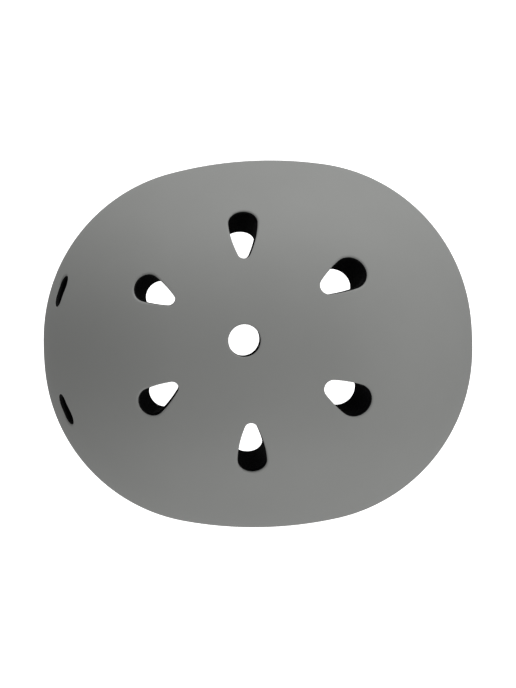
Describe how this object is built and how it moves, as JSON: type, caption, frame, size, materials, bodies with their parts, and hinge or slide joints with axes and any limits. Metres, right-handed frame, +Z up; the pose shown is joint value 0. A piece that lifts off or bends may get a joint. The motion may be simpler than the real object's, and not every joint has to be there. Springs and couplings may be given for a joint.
{
  "type": "bicycle helmet",
  "caption": "Open-face urban bicycle helmet: rounded hard shell with teardrop vents, foam liner, dial fit cradle and buckled chin strap.",
  "frame": {"origin": "where the wearer's head is held: on the middle plane, midway between the shell's brow and nape tips, level with the shell's widest line", "axes": "+Z up through the crown, -Y forward where the wearer looks, +X to the wearer's left"},
  "size_m": [0.2364, 0.2768, 0.303],
  "materials": {
    "shell": "satin moulded ABS",
    "foam": "expanded bead foam",
    "trim": "matt",
    "pad": "brushed cloth over foam",
    "hook": "hook tape",
    "webbing": "woven",
    "buckle": "moulded acetal",
    "cradle": "moulded nylon",
    "gear": "natural acetal",
    "rivet": "black",
    "steel": "plain"
  },
  "bodies": {
    "helmet": {"outer_shell": "shell", "eps_liner": "foam", "edge_trim": "trim", "brow_pad": "pad", "left_side_pad": "pad", "right_side_pad": "pad", "front_crown_pad": "pad", "rear_crown_pad": "pad", "hook_dots": "hook", "strap_rivets": "rivet", "rivet_washers": "steel", "left_front_strap": "webbing", "left_rear_strap": "webbing", "right_front_strap": "webbing", "right_rear_strap": "webbing", "left_divider": "buckle", "right_divider": "buckle", "lever_pins": "steel", "left_chin_strap": "webbing", "right_chin_strap": "webbing", "buckle_socket": "buckle", "stem_anchor": "cradle", "anchor_pin": "cradle"},
    "left_lever": {"left_divider_lever": "buckle"},
    "right_lever": {"right_divider_lever": "buckle"},
    "cradle": {"dial_housing": "cradle", "dial_cover": "cradle", "nape_pad": "pad", "height_stem": "cradle"},
    "dial": {"pinion": "gear", "dial_knob": "cradle", "dial_screw": "steel"},
    "left_band": {"left_band": "cradle", "left_wing_pad": "pad"},
    "right_band": {"right_band": "cradle", "right_wing_pad": "pad"},
    "plug": {"buckle_plug": "buckle"},
    "front_prong": {"front_prong": "buckle"},
    "rear_prong": {"rear_prong": "buckle"},
    "chin_pad": {"chin_pad": "pad"}
  },
  "joints": [
    {"name": "cradle_height", "type": "slide", "parent": "helmet", "child": "cradle", "axis": [0, 0, 1], "range_m": [-0.008, 0.005]},
    {"name": "dial_spin", "type": "hinge", "parent": "cradle", "child": "dial", "pos_m": [0, 0.1043, -0.084], "axis": [0, -1, 0], "range_deg": [0, 114]},
    {"name": "left_band_slide", "type": "slide", "parent": "cradle", "child": "left_band", "axis": [-1, 0, 0], "range_m": [0, 0.012]},
    {"name": "right_band_slide", "type": "slide", "parent": "cradle", "child": "right_band", "axis": [1, 0, 0], "range_m": [0, 0.012]},
    {"name": "left_lever_flip", "type": "hinge", "parent": "helmet", "child": "left_lever", "pos_m": [0.09617, -0.028, -0.08572], "axis": [0, -1, 0], "range_deg": [0, 85]},
    {"name": "right_lever_flip", "type": "hinge", "parent": "helmet", "child": "right_lever", "pos_m": [-0.09617, -0.028, -0.08572], "axis": [0, 1, 0], "range_deg": [0, 85]},
    {"name": "plug_pull", "type": "slide", "parent": "helmet", "child": "plug", "axis": [-0.6612, -0.144, -0.7363], "range_m": [0, 0.022], "deforming": ["right_chin_strap", "front_prong", "rear_prong"]},
    {"name": "front_prong_press", "type": "hinge", "parent": "plug", "child": "front_prong", "pos_m": [0.05138, -0.0441, -0.13604], "axis": [-0.7502, 0.127, 0.6489], "range_deg": [0, 11], "stiffness_Nm_per_rad": 0.3},
    {"name": "rear_prong_press", "type": "hinge", "parent": "plug", "child": "rear_prong", "pos_m": [0.05138, -0.02643, -0.1395], "axis": [0.7502, -0.127, -0.6489], "range_deg": [0, 11], "stiffness_Nm_per_rad": 0.3},
    {"name": "chin_pad_shift", "type": "hinge", "parent": "helmet", "child": "chin_pad", "pos_m": [0, -0.03717, -0.14748], "axis": [0, 0.9814, -0.192], "range_deg": [-12, 12]}
  ],
  "couplings": [
    {"joint": "left_band_slide", "follows": "dial_spin", "m_per_rad": 0.006},
    {"joint": "right_band_slide", "follows": "dial_spin", "m_per_rad": 0.006}
  ]
}
